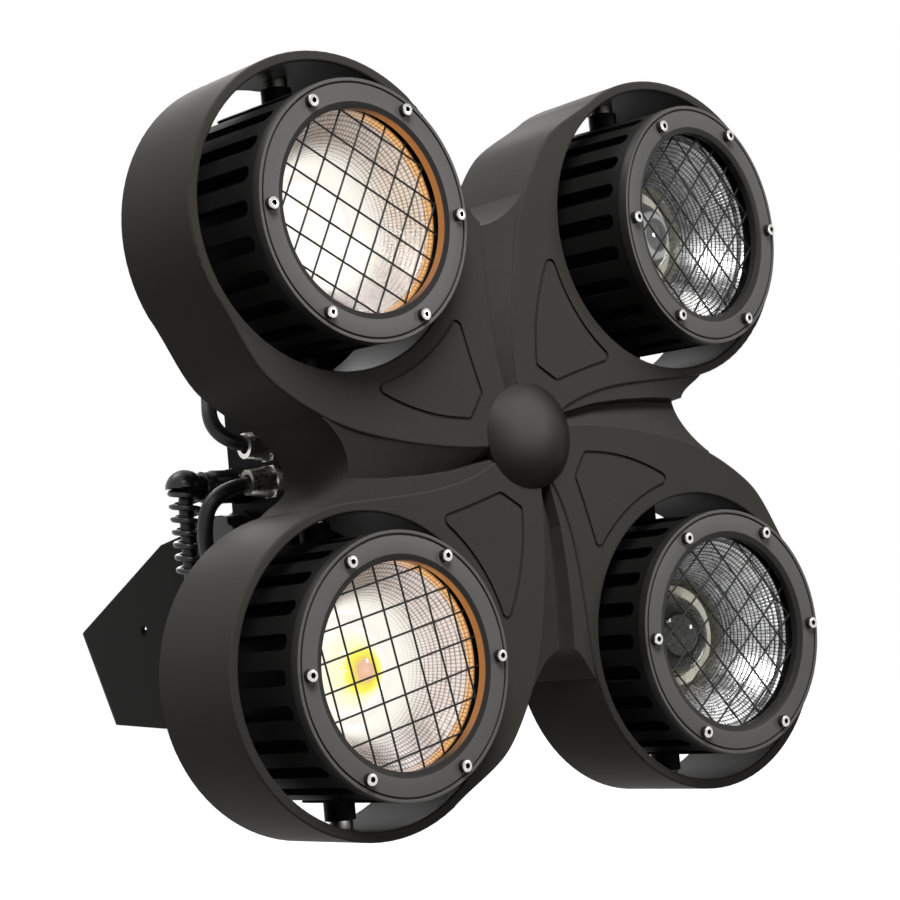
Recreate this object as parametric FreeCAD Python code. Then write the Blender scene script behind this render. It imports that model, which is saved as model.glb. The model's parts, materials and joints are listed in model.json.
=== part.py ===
import FreeCAD
import Part
import math
import os

# Four-head blinder light: cast clover housing, four swivelling heads, rear case and tilting yoke.
# Millimetres, +Z up, the heads face -Y. The origin is the yoke's mounting hole.

V = FreeCAD.Vector
PARTS = "parts"
os.makedirs(PARTS, exist_ok=True)

FIT = 0.05            # radial play of a running fit
GAP = 0.3             # gap between pieces that move past each other
OVERRUN = 2.0         # how far a cutter passes through a face

# Head positions and the cast rings round them
head_spacing = 252.0
ring_offset = 1.4
ring_inner_r = 88.0
ring_outer_r = 94.0
ring_depth = 72.0
skin = 4.0            # wall of the cast housing
swivel_y = 47.0       # depth of the heads' swivel axis
rest_yaw = {"upper_left": 3.9, "upper_right": 8.7, "lower_left": 3.0, "lower_right": 1.2}
guard_turn = {"upper_left": -27.0, "upper_right": 45.0, "lower_left": 12.0, "lower_right": 40.0}
side_of = {"upper_left": (-1, 1), "upper_right": (1, 1), "lower_left": (-1, -1), "lower_right": (1, -1)}
HEADS = ("upper_left", "upper_right", "lower_left", "lower_right")

half = head_spacing / 2
ring_c = half + ring_offset

# Clover front: lobe edges as shares of half the head spacing, (x, z) for the upper right lobe
step_edge_shares = ((0.222, 0.119), (0.373, 0.183), (0.492, 0.214), (0.714, 0.244))
open_edge_shares = ((0.373, 1.500), (0.302, 1.446), (0.228, 1.358), (0.127, 1.190), (0.059, 1.030),
                    (0.010, 0.841), (-0.022, 0.655), (-0.044, 0.444), (-0.048, 0.254))
merge_angle = 120.0   # where the open edge leaves the ring, degrees round the ring
valley_x_shares = (0.206, 0.429, 0.603, 0.794, 1.063, 1.159)
valley_top_shares = (0.111, 0.197, 0.228, 0.247, 0.267, 0.272)
valley_base_shares = (0.103, 0.150, 0.165, 0.171, 0.163, 0.159)
valley_edge_shares = (0.048, 0.044, 0.030, -0.004, -0.083, -0.107)
valley_depth = 10.0
valley_shelf = 1.6    # step down from a lobe to the shelf beside it
valley_draft = 1.0    # slope of the wall from the shelf to the valley floor
valley_lip = 0.8      # step left where a valley floor meets the next lobe
valley_lap = 3.0      # how far a valley runs into the lobes beside it
notch_shares = ((1.190, 0.317), (1.079, 0.228), (1.010, 0.163), (1.008, 0.098), (1.044, 0.012),
                (1.103, -0.060), (1.190, -0.128), (1.294, -0.187))   # hollow end of each valley
edge_round = 1.2      # soft edge of the casting's front
rim_round = 1.5       # soft inner edge of each ring
hub_r = 30.0

# Engraved line on each lobe, shares as above
groove_width = 2.0
groove_depth = 1.5
groove_corner_r = 4.5
groove_shares = {"tip": (0.246, 0.905), "long_side": (0.125, 0.640), "corner": (0.079, 0.329),
                 "corner_low": (0.202, 0.250), "low_side": (0.390, 0.306), "far_tip": (0.591, 0.357),
                 "ring_side": (0.395, 0.553)}

# Centre cap
cap_r = 31.5
cap_height = 12.0

# Head casting
bezel_r = 74.5
bezel_inner_r = 57.5
bezel_flat_r = 61.1
bezel_front = -24.0
bezel_back = -18.0
bezel_slope = 1.2
bezel_lip = 2.2
bezel_groove_w = 0.9
bezel_groove_d = 1.0
screw_circle_r = 67.3
screw_count = 6
screw_r = 2.0
screw_head_r = 3.5
screw_head_h = 4.0
screw_socket_r = 1.5
screw_socket_d = 2.0
screw_length = 10.0
lid_screw_length = 14.0
head_r = 74.0
core_r = 66.0
bore_r = 60.0
slot_front = -13.0
bore_back = 50.0
core_back = 62.0
head_back = 98.0
hub_core_r = 36.0
fin_count = 24
fin_slot = 9.0
fin_thick = 4.0
pivot_boss_r = 9.0
pivot_boss_reach = 84.0
pivot_bolt_r = 4.0
pivot_collar_r = 7.0
pivot_head_r = 6.5
pivot_head_h = 2.5
pivot_bolt_depth = 12.0

# Optics
glass_r = 64.0
glass_t = 4.0
guard_wire_r = 0.6
guard_ring_r = 62.5
guard_ring_wire_r = 0.9
guard_pitch = 16.0
guard_layer = 0.4     # each layer of wires lies this far off the middle plane
guard_t = 2 * (guard_wire_r + guard_layer)
guard_plane = bezel_back + guard_t / 2
glass_front = bezel_back + guard_t
reflector_mouth_r = 57.0
reflector_foot_r = 31.0     # where the facets end
reflector_front = -8.0
reflector_foot_y = 27.0
collar_r = 25.8       # plain collar between the facets and the lens
collar_y = 29.0
reflector_wall = 1.5
reflector_rim = 2.5
reflector_bow = 2.6   # how far the bowl bulges outside a straight cone
cob_r = 32.0
cob_front = 45.5
cob_recess_r = 13.0
cob_recess_d = 1.0
lens_r = 25.0
lens_rim = 19.0
lens_height = 16.0

# Nickel cable glands
gland_nut_r = 11.0
gland_nut_h = 6.0
gland_dome_r = 9.5
gland_dome_h = 16.0
gland_thread_r = 8.0
lead_r = 4.75
head_gland_r = 9.0
head_gland_h = 16.0

# Rear chassis and electronics case
chassis_t = 4.0
chassis_half = 56.0
chassis_ring_lap = 3.0
case_front = 110.0
case_back = 168.0
case_half_x = 100.0
case_half_z = 75.0
case_wall = 3.0
case_corner_r = 8.0
lid_t = 4.0
lid_screw_inset = 8.0
gland_y = 119.0
gland_z = 11.0
power_gland_y = 152.0
tilt_y = 155.0
tilt_z = -45.0
tilt_boss_r = 16.0
stud_r = 5.0
stud_depth = 14.0

# Control panel in the lid
window_w = 44.0
window_h = 18.0
window_t = 2.0
window_ledge = 2.0
window_z = 26.0
button_r = 4.5
button_pitch = 16.0
button_z = 4.0
button_proud = 2.0
button_flange_r = 6.0
button_flange_t = 1.0
button_travel = 0.8

# Power supply
supply_w = 130.0
supply_h = 96.0
supply_d = 36.0
supply_corner_r = 3.0

# Yoke
arm_t = 3.0
arm_gap = 4.0          # from the case to each yoke arm
arm_eye_r = 20.0
yoke_bend_r = 8.0
arm_front_low_y = 262.0
arm_low_z = -156.0
arm_top_y = 249.0
arm_top_z = -38.5
bridge_low_y = 332.0
bridge_low_z = -151.6
bridge_high_y = 366.0
bridge_high_z = -91.7
mount_r = 6.5
arm_hole_r = 3.9
arm_hole_y = 279.0
arm_hole_z = -92.3

arm_inner_x = case_half_x + arm_gap

# Tilt knobs
knob_r = 18.0
knob_h = 12.0
knob_flange_r = 10.0
knob_flange_t = 2.5
knob_lobes = 8
knob_flute_r = 4.0

# Power lead: gland, cap over the bend, strain relief spiral, lead and in-line plug
power_lead_r = 4.5
power_gland_z = -10.0
power_nut_h = 12.0
power_nut_r = 11.0
power_dome_h = 18.0
power_dome_r = 10.5
relief_out = 45.5     # from the case to the spiral's axis
relief_cap_r = 11.5
relief_neck_r = 9.5
relief_bend_r = 9.0   # the lead's bend inside the cap
relief_start_r = 8.8
relief_end_r = 6.9
relief_turns = 7
relief_wire_r = 1.9
relief_drop = 54.0    # the spiral's height
relief_sink = 0.5     # its start lies this far below the cap's rim
relief_start_turn = 50.0
plug_r = 9.0
plug_length = 50.0
plug_collar_r = 10.0
plug_collar_l = 18.0

EPS = 1e-7


def place_head(shape, head):
    s = shape.copy()
    s.rotate(V(0, swivel_y, 0), V(0, 0, 1), rest_yaw[head])
    sx, sz = side_of[head]
    s.translate(V(sx * half, 0, sz * half))
    return s


def head_point(point, head):
    turn = FreeCAD.Rotation(V(0, 0, 1), rest_yaw[head])
    pivot = V(0, swivel_y, 0)
    sx, sz = side_of[head]
    return turn.multVec(point - pivot) + pivot + V(sx * half, 0, sz * half)


def head_direction(d, head):
    return FreeCAD.Rotation(V(0, 0, 1), rest_yaw[head]).multVec(d)


def rod_y(r, y0, y1, x=0.0, z=0.0):
    return Part.makeCylinder(r, y1 - y0, V(x, y0, z), V(0, 1, 0))


def rod_x(r, x0, x1, y, z):
    return Part.makeCylinder(r, x1 - x0, V(x0, y, z), V(1, 0, 0))


def tube_y(r_out, r_in, y0, y1):
    return rod_y(r_out, y0, y1).cut(rod_y(r_in, y0 - OVERRUN, y1 + OVERRUN))


def face_of(points):
    return Part.Face(Part.makePolygon(points + [points[0]]))


def turned_y(profile):
    face = face_of([V(r, y, 0) for r, y in profile])
    return face.revolve(V(0, 0, 0), V(0, 1, 0), 360)


def slab_y(points, y0, y1):
    face = face_of([V(x, y0, z) for x, z in points])
    return face.extrude(V(0, y1 - y0, 0))


def box(x0, x1, y0, y1, z0, z1):
    return Part.makeBox(x1 - x0, y1 - y0, z1 - z0, V(x0, y0, z0))


def hex_x(r, x0, x1, y, z):
    pts = []
    for k in range(6):
        a = math.radians(60 * k)
        pts.append(V(x0, y + r * math.cos(a), z + r * math.sin(a)))
    return face_of(pts).extrude(V(x1 - x0, 0, 0))


def rounded_y(hx, hz, r, y0, y1):
    body = box(-hx, hx, y0, y1, -hz, hz)
    edges = []
    for e in body.Edges:
        d = e.tangentAt(e.FirstParameter)
        if abs(abs(d.y) - 1) < EPS:
            edges.append(e)
    return body.makeFillet(r, edges)


def fuse_all(shapes):
    out = shapes[0]
    for s in shapes[1:]:
        out = out.fuse(s)
    return out


def clean(shape):
    s = shape.removeSplitter()
    if len(s.Solids) == 1:
        return s.Solids[0]
    return s


def quarter(shape, turns):
    s = shape.copy()
    s.rotate(V(0, 0, 0), V(0, 1, 0), 90 * turns)
    return s


# Housing

def smooth(points):
    curve = Part.BSplineCurve()
    curve.interpolate(points)
    return curve.toShape()


def lobe():
    step = [V(x * half, 0, z * half) for x, z in step_edge_shares]
    foot = V(ring_c, 0, ring_c - ring_outer_r)
    step.append(foot)
    a = math.radians(merge_angle)
    merge = V(ring_c + ring_outer_r * math.cos(a), 0, ring_c + ring_outer_r * math.sin(a))
    mid_a = math.radians((merge_angle - 90) / 2)
    mid = V(ring_c + ring_outer_r * math.cos(mid_a), 0, ring_c + ring_outer_r * math.sin(mid_a))
    opened = [merge] + [V(x * half, 0, z * half) for x, z in open_edge_shares]
    edges = [smooth(step), Part.Arc(foot, mid, merge).toShape(), smooth(opened),
             Part.makeLine(opened[-1], step[0])]
    face = Part.Face(Part.Wire(edges))
    body = face.extrude(V(0, ring_depth, 0))
    rims = [e for e in body.Edges if e.BoundBox.YMax < EPS + OVERRUN * EPS and e.Curve.TypeId != "Part::GeomLine"]
    return body.makeFillet(edge_round, rims)


def valley_section(x, top, base, edge):
    back = valley_depth + 2 * skin
    pts = [(top + valley_lap, valley_shelf), (base, valley_shelf), (base - valley_draft, valley_depth),
           (edge, valley_lip), (edge - valley_lap, valley_lip), (edge - valley_lap, back), (top + valley_lap, back)]
    ring = [V(x, y, z) for z, y in pts]
    return Part.makePolygon(ring + [ring[0]])


def valley():
    wires = []
    rows = list(zip(valley_x_shares, valley_top_shares, valley_base_shares, valley_edge_shares))
    for x, top, base, edge in rows:
        wires.append(valley_section(x * half, top * half, base * half, edge * half))
    return Part.makeLoft(wires, True, True)


def neck_r():
    # where the valleys end, from the centre
    return half * min(x for x, z in notch_shares)


def notch():
    line = [V(x * half, -OVERRUN, z * half) for x, z in notch_shares]
    far = 2 * half
    first, last = line[0], line[-1]
    corners = [last, V(far, last.y, last.z), V(far, first.y, first.z), first]
    edges = [smooth(line)] + [Part.makeLine(p, q) for p, q in zip(corners[:-1], corners[1:])]
    return Part.Face(Part.Wire(edges)).extrude(V(0, ring_depth + 2 * OVERRUN, 0))


def neck():
    top = ring_c - ring_outer_r + 2 * skin
    reach = valley_x_shares[-1] * half
    low = valley_edge_shares[-1] * half - skin
    wall = box(neck_r() - 2 * skin, reach, valley_depth + skin / 2, ring_depth, low, top)
    return valley().fuse(wall).cut(notch())


def groove_faces():
    p = {name: V(x * half, 0, z * half) for name, (x, z) in groove_shares.items()}
    edges = [Part.Arc(p["tip"], p["long_side"], p["corner"]).toShape(),
             Part.makeLine(p["corner"], p["corner_low"]),
             Part.Arc(p["corner_low"], p["low_side"], p["far_tip"]).toShape(),
             Part.Arc(p["far_tip"], p["ring_side"], p["tip"]).toShape()]
    outer = Part.Face(Part.Wire(edges))
    return outer, outer.makeOffset2D(-groove_width)


def soft_corners(block, r):
    upright = [e for e in block.Edges if abs(abs(e.tangentAt(e.FirstParameter).y) - 1) < EPS]
    return block.makeFillet(r, upright)


def groove():
    outer, inner = groove_faces()
    depth = V(0, groove_depth + OVERRUN, 0)
    block = soft_corners(outer.extrude(depth), groove_corner_r)
    island = soft_corners(inner.extrude(depth), groove_corner_r - groove_width)
    ring = block.cut(island)
    ring.translate(V(0, -OVERRUN, 0))
    return ring


def rim_cutter(x, z):
    # takes the sharp inner edge off a ring
    r = rim_round
    low = V(ring_inner_r, r, 0)
    mid = V(ring_inner_r + r * (1 - math.sqrt(0.5)), r * (1 - math.sqrt(0.5)), 0)
    high = V(ring_inner_r + r, 0, 0)
    inside = ring_inner_r - r
    edges = [Part.Arc(low, mid, high).toShape(), Part.makeLine(high, V(high.x, -OVERRUN, 0)),
             Part.makeLine(V(high.x, -OVERRUN, 0), V(inside, -OVERRUN, 0)),
             Part.makeLine(V(inside, -OVERRUN, 0), V(inside, r, 0)), Part.makeLine(V(inside, r, 0), low)]
    tool = Part.Face(Part.Wire(edges)).revolve(V(0, 0, 0), V(0, 1, 0), 360)
    tool.translate(V(x, 0, z))
    return tool


def build_housing():
    quarters = []
    for k in range(4):
        quarters.append(quarter(lobe(), k))
        quarters.append(quarter(neck(), k))
    body = fuse_all(quarters + [rod_y(hub_r, 0, valley_depth + 2 * skin)])
    inner = neck_r() - skin
    cavity = box(-inner, inner, valley_depth + skin, ring_depth + OVERRUN, -inner, inner)
    for head in HEADS:
        sx, sz = side_of[head]
        x, z = sx * ring_c, sz * ring_c
        body = body.cut(rod_y(ring_inner_r, -OVERRUN, ring_depth + OVERRUN, x, z))
        cavity = cavity.cut(rod_y(ring_inner_r + skin, 0, ring_depth + 2 * OVERRUN, x, z))
    body = body.cut(cavity)
    for head in HEADS:
        sx, sz = side_of[head]
        body = body.cut(rim_cutter(sx * ring_c, sz * ring_c))
    g = groove()
    for k in range(4):
        body = body.cut(quarter(g, k))
    for head in HEADS:
        for base, up, wall_in, wall_out, outward in pivot_spans(head):
            low = wall_in - OVERRUN
            reach = wall_out - low + (OVERRUN if outward else 0)
            body = body.cut(Part.makeCylinder(pivot_bolt_r + FIT, reach, base + up * low, up))
            if outward:
                sunk = base + up * (wall_out - pivot_head_h)
                body = body.cut(Part.makeCylinder(pivot_head_r + FIT, pivot_head_h + OVERRUN, sunk, up))
    return clean(body)


def build_cap():
    radius = (cap_r ** 2 + cap_height ** 2) / (2 * cap_height)
    ball = Part.makeSphere(radius, V(0, radius - cap_height, 0))
    return ball.common(rod_y(cap_r + OVERRUN, -cap_height - OVERRUN, 0))


def pivot_spans(head):
    # head's axis point, direction, ring wall's start and end from it, and whether it faces outward
    sx, sz = side_of[head]
    base = V(sx * half, swivel_y, sz * half)
    flat = math.sqrt(ring_outer_r ** 2 - pivot_head_r ** 2)
    outer = (base, V(0, 0, sz), ring_offset + ring_inner_r, ring_offset + flat, True)
    inner = ring_inner_r - ring_offset
    return (outer, (base, V(0, 0, -sz), inner, inner + skin, False))


def build_pivot_bolts():
    bolts = []
    start = pivot_boss_reach - pivot_bolt_depth
    low = pivot_boss_reach + GAP
    for head in HEADS:
        for base, up, wall_in, wall_out, outward in pivot_spans(head):
            sag = ring_inner_r - math.sqrt(ring_inner_r ** 2 - (pivot_collar_r + ring_offset) ** 2)
            shank = Part.makeCylinder(pivot_bolt_r, wall_out - start, base + up * start, up)
            collar = Part.makeCylinder(pivot_collar_r, wall_in - sag - FIT - low, base + up * low, up)
            pieces = [shank, collar]
            if outward:
                top = base + up * (wall_out - pivot_head_h)
                pieces.append(Part.makeCylinder(pivot_head_r, pivot_head_h, top, up))
            bolts.append(clean(fuse_all(pieces)))
    return Part.makeCompound(bolts)


# Head pieces, modelled round the head's own axis

def around(shape, count):
    out = []
    for k in range(count):
        s = shape.copy()
        s.rotate(V(0, 0, 0), V(0, 1, 0), 360.0 * k / count)
        out.append(s)
    return out


def build_heatsink():
    seat = glass_r + GAP
    ledge = glass_front + glass_t
    profile = [(bore_r, ledge), (bore_r, bore_back), (0, bore_back), (0, core_back), (head_r, core_back),
               (head_r, bezel_back), (seat, bezel_back), (seat, ledge)]
    body = turned_y(profile)
    half_slot = fin_slot / 2
    slot = box(-half_slot, half_slot, slot_front + half_slot, core_back + OVERRUN, core_r, head_r + OVERRUN)
    slot = slot.fuse(Part.makeCylinder(half_slot, head_r - core_r + OVERRUN,
                                       V(0, slot_front + half_slot, core_r), V(0, 0, 1)))
    body = body.cut(Part.makeCompound(around(slot, fin_count)))
    fin = box(-fin_thick / 2, fin_thick / 2, core_back - OVERRUN, head_back, hub_core_r - OVERRUN, head_r - OVERRUN)
    fins = around(fin, fin_count)
    body = body.fuse(fins + [rod_y(hub_core_r, core_back - OVERRUN, head_back)])
    bosses = []
    for sign in (1, -1):
        bosses.append(Part.makeCylinder(pivot_boss_r, pivot_boss_reach - core_r + skin,
                                        V(0, swivel_y, sign * (core_r - skin)), V(0, 0, sign)))
    body = body.fuse(bosses)
    for sign in (1, -1):
        start = pivot_boss_reach - pivot_bolt_depth - GAP
        body = body.cut(Part.makeCylinder(pivot_bolt_r + FIT, pivot_bolt_depth + GAP + OVERRUN,
                                          V(0, swivel_y, sign * start), V(0, 0, sign)))
    tap = rod_y(screw_r + FIT, bezel_back - OVERRUN, bezel_front + screw_length + FIT, screw_circle_r)
    body = body.cut(Part.makeCompound(around(tap, screw_count)))
    body = body.cut(rod_y(gland_thread_r + FIT, head_back - skin, head_back + OVERRUN))
    return clean(body)


def build_bezel():
    ridge_out = bezel_r - bezel_lip
    ridge_in = ridge_out - bezel_groove_w
    profile = [(bezel_inner_r, bezel_back), (bezel_r, bezel_back), (bezel_r, bezel_front),
               (ridge_out, bezel_front), (ridge_out, bezel_front + bezel_groove_d),
               (ridge_in, bezel_front + bezel_groove_d), (ridge_in, bezel_front),
               (bezel_flat_r, bezel_front), (bezel_inner_r, bezel_front + bezel_slope)]
    ring = turned_y(profile)
    hole = rod_y(screw_r + FIT, bezel_front - OVERRUN, bezel_back + OVERRUN, screw_circle_r)
    return clean(ring.cut(Part.makeCompound(around(hole, screw_count))))


def build_screw():
    shank = rod_y(screw_r, bezel_front, bezel_front + screw_length)
    cap = rod_y(screw_head_r, bezel_front - screw_head_h, bezel_front)
    pts = []
    for k in range(6):
        a = math.radians(60 * k)
        pts.append((screw_socket_r * math.cos(a), screw_socket_r * math.sin(a)))
    socket = slab_y(pts, bezel_front - screw_head_h - OVERRUN, bezel_front - screw_head_h + screw_socket_d)
    screw = clean(shank.fuse(cap).cut(socket))
    screw.translate(V(screw_circle_r, 0, 0))
    return Part.makeCompound(around(screw, screw_count))


def build_glass():
    return rod_y(glass_r, glass_front, glass_front + glass_t)


def build_guard(turn):
    wires = []
    lines = int(guard_ring_r / guard_pitch)
    for layer, axis_x in ((-guard_layer, True), (guard_layer, False)):
        for k in range(-lines, lines + 1):
            off = k * guard_pitch
            reach = math.sqrt(guard_ring_r ** 2 - off ** 2)
            y = guard_plane + layer
            if axis_x:
                wires.append(Part.makeCylinder(guard_wire_r, 2 * reach, V(-reach, y, off), V(1, 0, 0)))
            else:
                wires.append(Part.makeCylinder(guard_wire_r, 2 * reach, V(off, y, -reach), V(0, 0, 1)))
    rim = Part.makeTorus(guard_ring_r, guard_ring_wire_r, V(0, guard_plane, 0), V(0, 1, 0))
    guard = rim.fuse(wires)
    guard = clean(guard)
    guard.rotate(V(0, 0, 0), V(0, 1, 0), -turn)
    return guard


def bowl_arc(r0, y0, r1, y1, bow):
    mx, my = (r0 + r1) / 2, (y0 + y1) / 2
    length = math.hypot(r1 - r0, y1 - y0)
    nx, ny = (y1 - y0) / length, -(r1 - r0) / length
    return V(mx + nx * bow, my + ny * bow, 0)


def build_reflector():
    w = reflector_wall
    a = V(reflector_mouth_r, reflector_front, 0)
    b = V(reflector_foot_r, reflector_foot_y, 0)
    ao = V(reflector_mouth_r + w, reflector_front, 0)
    bo = V(reflector_foot_r + w, reflector_foot_y, 0)
    inner = Part.Arc(a, bowl_arc(a.x, a.y, b.x, b.y, reflector_bow), b).toShape()
    outer = Part.Arc(bo, bowl_arc(ao.x, ao.y, bo.x, bo.y, reflector_bow), ao).toShape()
    rim = [ao, V(reflector_mouth_r + reflector_rim, reflector_front, 0),
           V(reflector_mouth_r + reflector_rim, reflector_front - w, 0), V(reflector_mouth_r, reflector_front - w, 0), a]
    foot = [b, V(collar_r, collar_y, 0), V(collar_r, cob_front, 0), V(collar_r + 2 * w, cob_front, 0),
            V(collar_r + 2 * w, collar_y, 0), bo]
    edges = [inner]
    for p, q in zip(foot[:-1], foot[1:]):
        edges.append(Part.makeLine(p, q))
    edges.append(outer)
    for p, q in zip(rim[:-1], rim[1:]):
        edges.append(Part.makeLine(p, q))
    face = Part.Face(Part.Wire(edges))
    return clean(face.revolve(V(0, 0, 0), V(0, 1, 0), 360))


def build_cob():
    plate = rod_y(cob_r, cob_front, bore_back)
    return clean(plate.cut(rod_y(cob_recess_r, cob_front - OVERRUN, cob_front + cob_recess_d)))


def build_lens():
    rim_y = cob_front - lens_rim
    radius = (lens_r ** 2 + lens_height ** 2) / (2 * lens_height)
    ball = Part.makeSphere(radius, V(0, rim_y - lens_height + radius, 0))
    cap = ball.common(rod_y(lens_r + OVERRUN, rim_y - lens_height - OVERRUN, rim_y))
    return clean(cap.fuse(rod_y(lens_r, rim_y, cob_front)))


def build_head_gland():
    body = turned_y([(0, head_back - skin), (gland_thread_r, head_back - skin), (gland_thread_r, head_back),
                     (head_gland_r, head_back), (head_gland_r, head_back + head_gland_h / 2),
                     (lead_r + case_wall, head_back + head_gland_h), (0, head_back + head_gland_h)])
    return clean(body.cut(rod_y(lead_r + FIT, head_back - skin / 2, head_back + head_gland_h + OVERRUN)))


# Rear pieces

def build_chassis():
    edge = neck_r() - skin / 2
    star = box(-edge, edge, ring_depth, ring_depth + chassis_t, -edge, edge)
    r = ring_outer_r - chassis_ring_lap
    for head in HEADS:
        sx, sz = side_of[head]
        star = star.cut(rod_y(r, ring_depth - OVERRUN, ring_depth + chassis_t + OVERRUN, sx * ring_c, sz * ring_c))
    frame = rounded_y(chassis_half, chassis_half, case_corner_r, ring_depth, case_front)
    hollow = chassis_half - chassis_t
    frame = frame.fuse(star)
    return clean(frame.cut(rounded_y(hollow, hollow, case_corner_r / 2, ring_depth - OVERRUN, case_front + OVERRUN)))


def lid_screw_places():
    x = case_half_x - lid_screw_inset
    z = case_half_z - lid_screw_inset
    return [(-x, -z), (0, -z), (x, -z), (-x, z), (0, z), (x, z)]


def build_case():
    outer = rounded_y(case_half_x, case_half_z, case_corner_r, case_front, case_back)
    w = case_wall
    inner = rounded_y(case_half_x - w, case_half_z - w, case_corner_r - w, case_front + w, case_back + OVERRUN)
    body = outer.cut(inner)
    x0 = case_half_x - stud_depth - w
    for sign in (1, -1):
        boss = rod_x(tilt_boss_r, x0, arm_inner_x - GAP, tilt_y, tilt_z)
        boss = boss.common(box(x0 - OVERRUN, arm_inner_x, case_front, case_back, -case_half_z, case_half_z))
        if sign < 0:
            boss = boss.mirror(V(0, 0, 0), V(1, 0, 0))
        body = body.fuse(boss)
    for x, z in lid_screw_places():
        post = rod_y(lid_screw_inset, case_front, case_back, x, z)
        body = body.fuse(post.common(outer))
    for x, z in lid_screw_places():
        body = body.cut(rod_y(screw_r + FIT, case_back + lid_t - lid_screw_length - FIT, case_back + OVERRUN, x, z))
    for sign in (1, -1):
        end = case_half_x - stud_depth - FIT
        hole = rod_x(stud_r + FIT, end, arm_inner_x + OVERRUN, tilt_y, tilt_z)
        if sign < 0:
            hole = hole.mirror(V(0, 0, 0), V(1, 0, 0))
        body = body.cut(hole)
    for sign in (1, -1):
        for z in (gland_z, -gland_z):
            hole = rod_x(gland_thread_r + FIT, case_half_x - 2 * w, case_half_x + OVERRUN, gland_y, z)
            if sign < 0:
                hole = hole.mirror(V(0, 0, 0), V(1, 0, 0))
            body = body.cut(hole)
    body = body.cut(rod_x(gland_thread_r + FIT, -case_half_x - OVERRUN, -case_half_x + 2 * w, power_gland_y, power_gland_z))
    body = body.cut(rod_y(hub_core_r, case_front - OVERRUN, case_front + w + OVERRUN))
    return clean(body)


def button_x(k):
    return (k - 1.5) * button_pitch


def build_lid():
    lid = rounded_y(case_half_x, case_half_z, case_corner_r, case_back, case_back + lid_t)
    for x, z in lid_screw_places():
        lid = lid.cut(rod_y(screw_r + FIT, case_back - OVERRUN, case_back + lid_t + OVERRUN, x, z))
    recess = rounded_y(window_w / 2 + FIT, window_h / 2 + FIT, window_ledge, case_back + lid_t - window_t,
                       case_back + lid_t + OVERRUN)
    recess.translate(V(0, 0, window_z))
    lid = lid.cut(recess)
    view = rounded_y(window_w / 2 - window_ledge, window_h / 2 - window_ledge, window_ledge / 2,
                     case_back - OVERRUN, case_back + lid_t)
    view.translate(V(0, 0, window_z))
    lid = lid.cut(view)
    for k in range(4):
        lid = lid.cut(rod_y(button_r + GAP, case_back - OVERRUN, case_back + lid_t + OVERRUN, button_x(k), button_z))
    return clean(lid)


def build_lid_screws():
    out = []
    for x, z in lid_screw_places():
        top = case_back + lid_t
        shank = rod_y(screw_r, top - lid_screw_length, top, x, z)
        cap = rod_y(screw_head_r, top, top + screw_head_h / 2, x, z)
        out.append(clean(shank.fuse(cap)))
    return Part.makeCompound(out)


def build_window():
    pane = rounded_y(window_w / 2, window_h / 2, window_ledge, case_back + lid_t - window_t, case_back + lid_t)
    pane.translate(V(0, 0, window_z))
    return pane


def build_button(k):
    x = button_x(k)
    back = case_back - GAP
    cap = rod_y(button_r, back, case_back + lid_t + button_proud, x, button_z)
    flange = rod_y(button_flange_r, back - button_flange_t, back, x, button_z)
    return clean(cap.fuse(flange))


def build_supply():
    front = case_front + case_wall
    return rounded_y(supply_w / 2, supply_h / 2, supply_corner_r, front, front + supply_d)


def build_case_glands():
    out = []
    x0 = case_half_x
    for sign in (1, -1):
        for z in (gland_z, -gland_z):
            nut = hex_x(gland_nut_r, x0, x0 + gland_nut_h, gland_y, z)
            dome = Part.makeCone(gland_dome_r, lead_r + case_wall, gland_dome_h - gland_nut_h / 2,
                                 V(x0 + gland_nut_h + gland_nut_h / 2, gland_y, z), V(1, 0, 0))
            ring = rod_x(gland_dome_r, x0 + gland_nut_h, x0 + gland_nut_h + gland_nut_h / 2, gland_y, z)
            thread = rod_x(gland_thread_r, x0 - 2 * case_wall, x0, gland_y, z)
            g = fuse_all([nut, ring, dome, thread])
            g = g.cut(rod_x(lead_r + FIT, x0 - case_wall, x0 + gland_nut_h + gland_dome_h + OVERRUN, gland_y, z))
            g = clean(g)
            if sign < 0:
                g = g.mirror(V(0, 0, 0), V(1, 0, 0))
            out.append(g)
    return Part.makeCompound(out)


# Yoke and knobs

def arm_outline():
    eye = V(0, tilt_y, tilt_z)
    top = V(0, arm_top_y, arm_top_z)
    low = V(0, arm_front_low_y, arm_low_z)

    def touch(point, side):
        d = point - eye
        dist = d.Length
        base = math.atan2(d.z, d.y)
        a = base + side * math.acos(arm_eye_r / dist)
        return V(0, tilt_y + arm_eye_r * math.cos(a), tilt_z + arm_eye_r * math.sin(a))
    t_up = touch(top, 1)
    t_low = touch(low, -1)
    far = V(0, tilt_y - arm_eye_r, tilt_z)
    pts = [t_up, top, V(0, bridge_high_y, bridge_high_z), V(0, bridge_low_y, bridge_low_z), low, t_low]
    edges = []
    for p, q in zip(pts[:-1], pts[1:]):
        edges.append(Part.makeLine(p, q))
    edges.append(Part.Arc(t_low, far, t_up).toShape())
    return Part.Face(Part.Wire(edges))


def bridge_dirs():
    along = V(0, bridge_high_y - bridge_low_y, bridge_high_z - bridge_low_z)
    along.normalize()
    out = V(0, along.z, -along.y)
    return along, out


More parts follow.
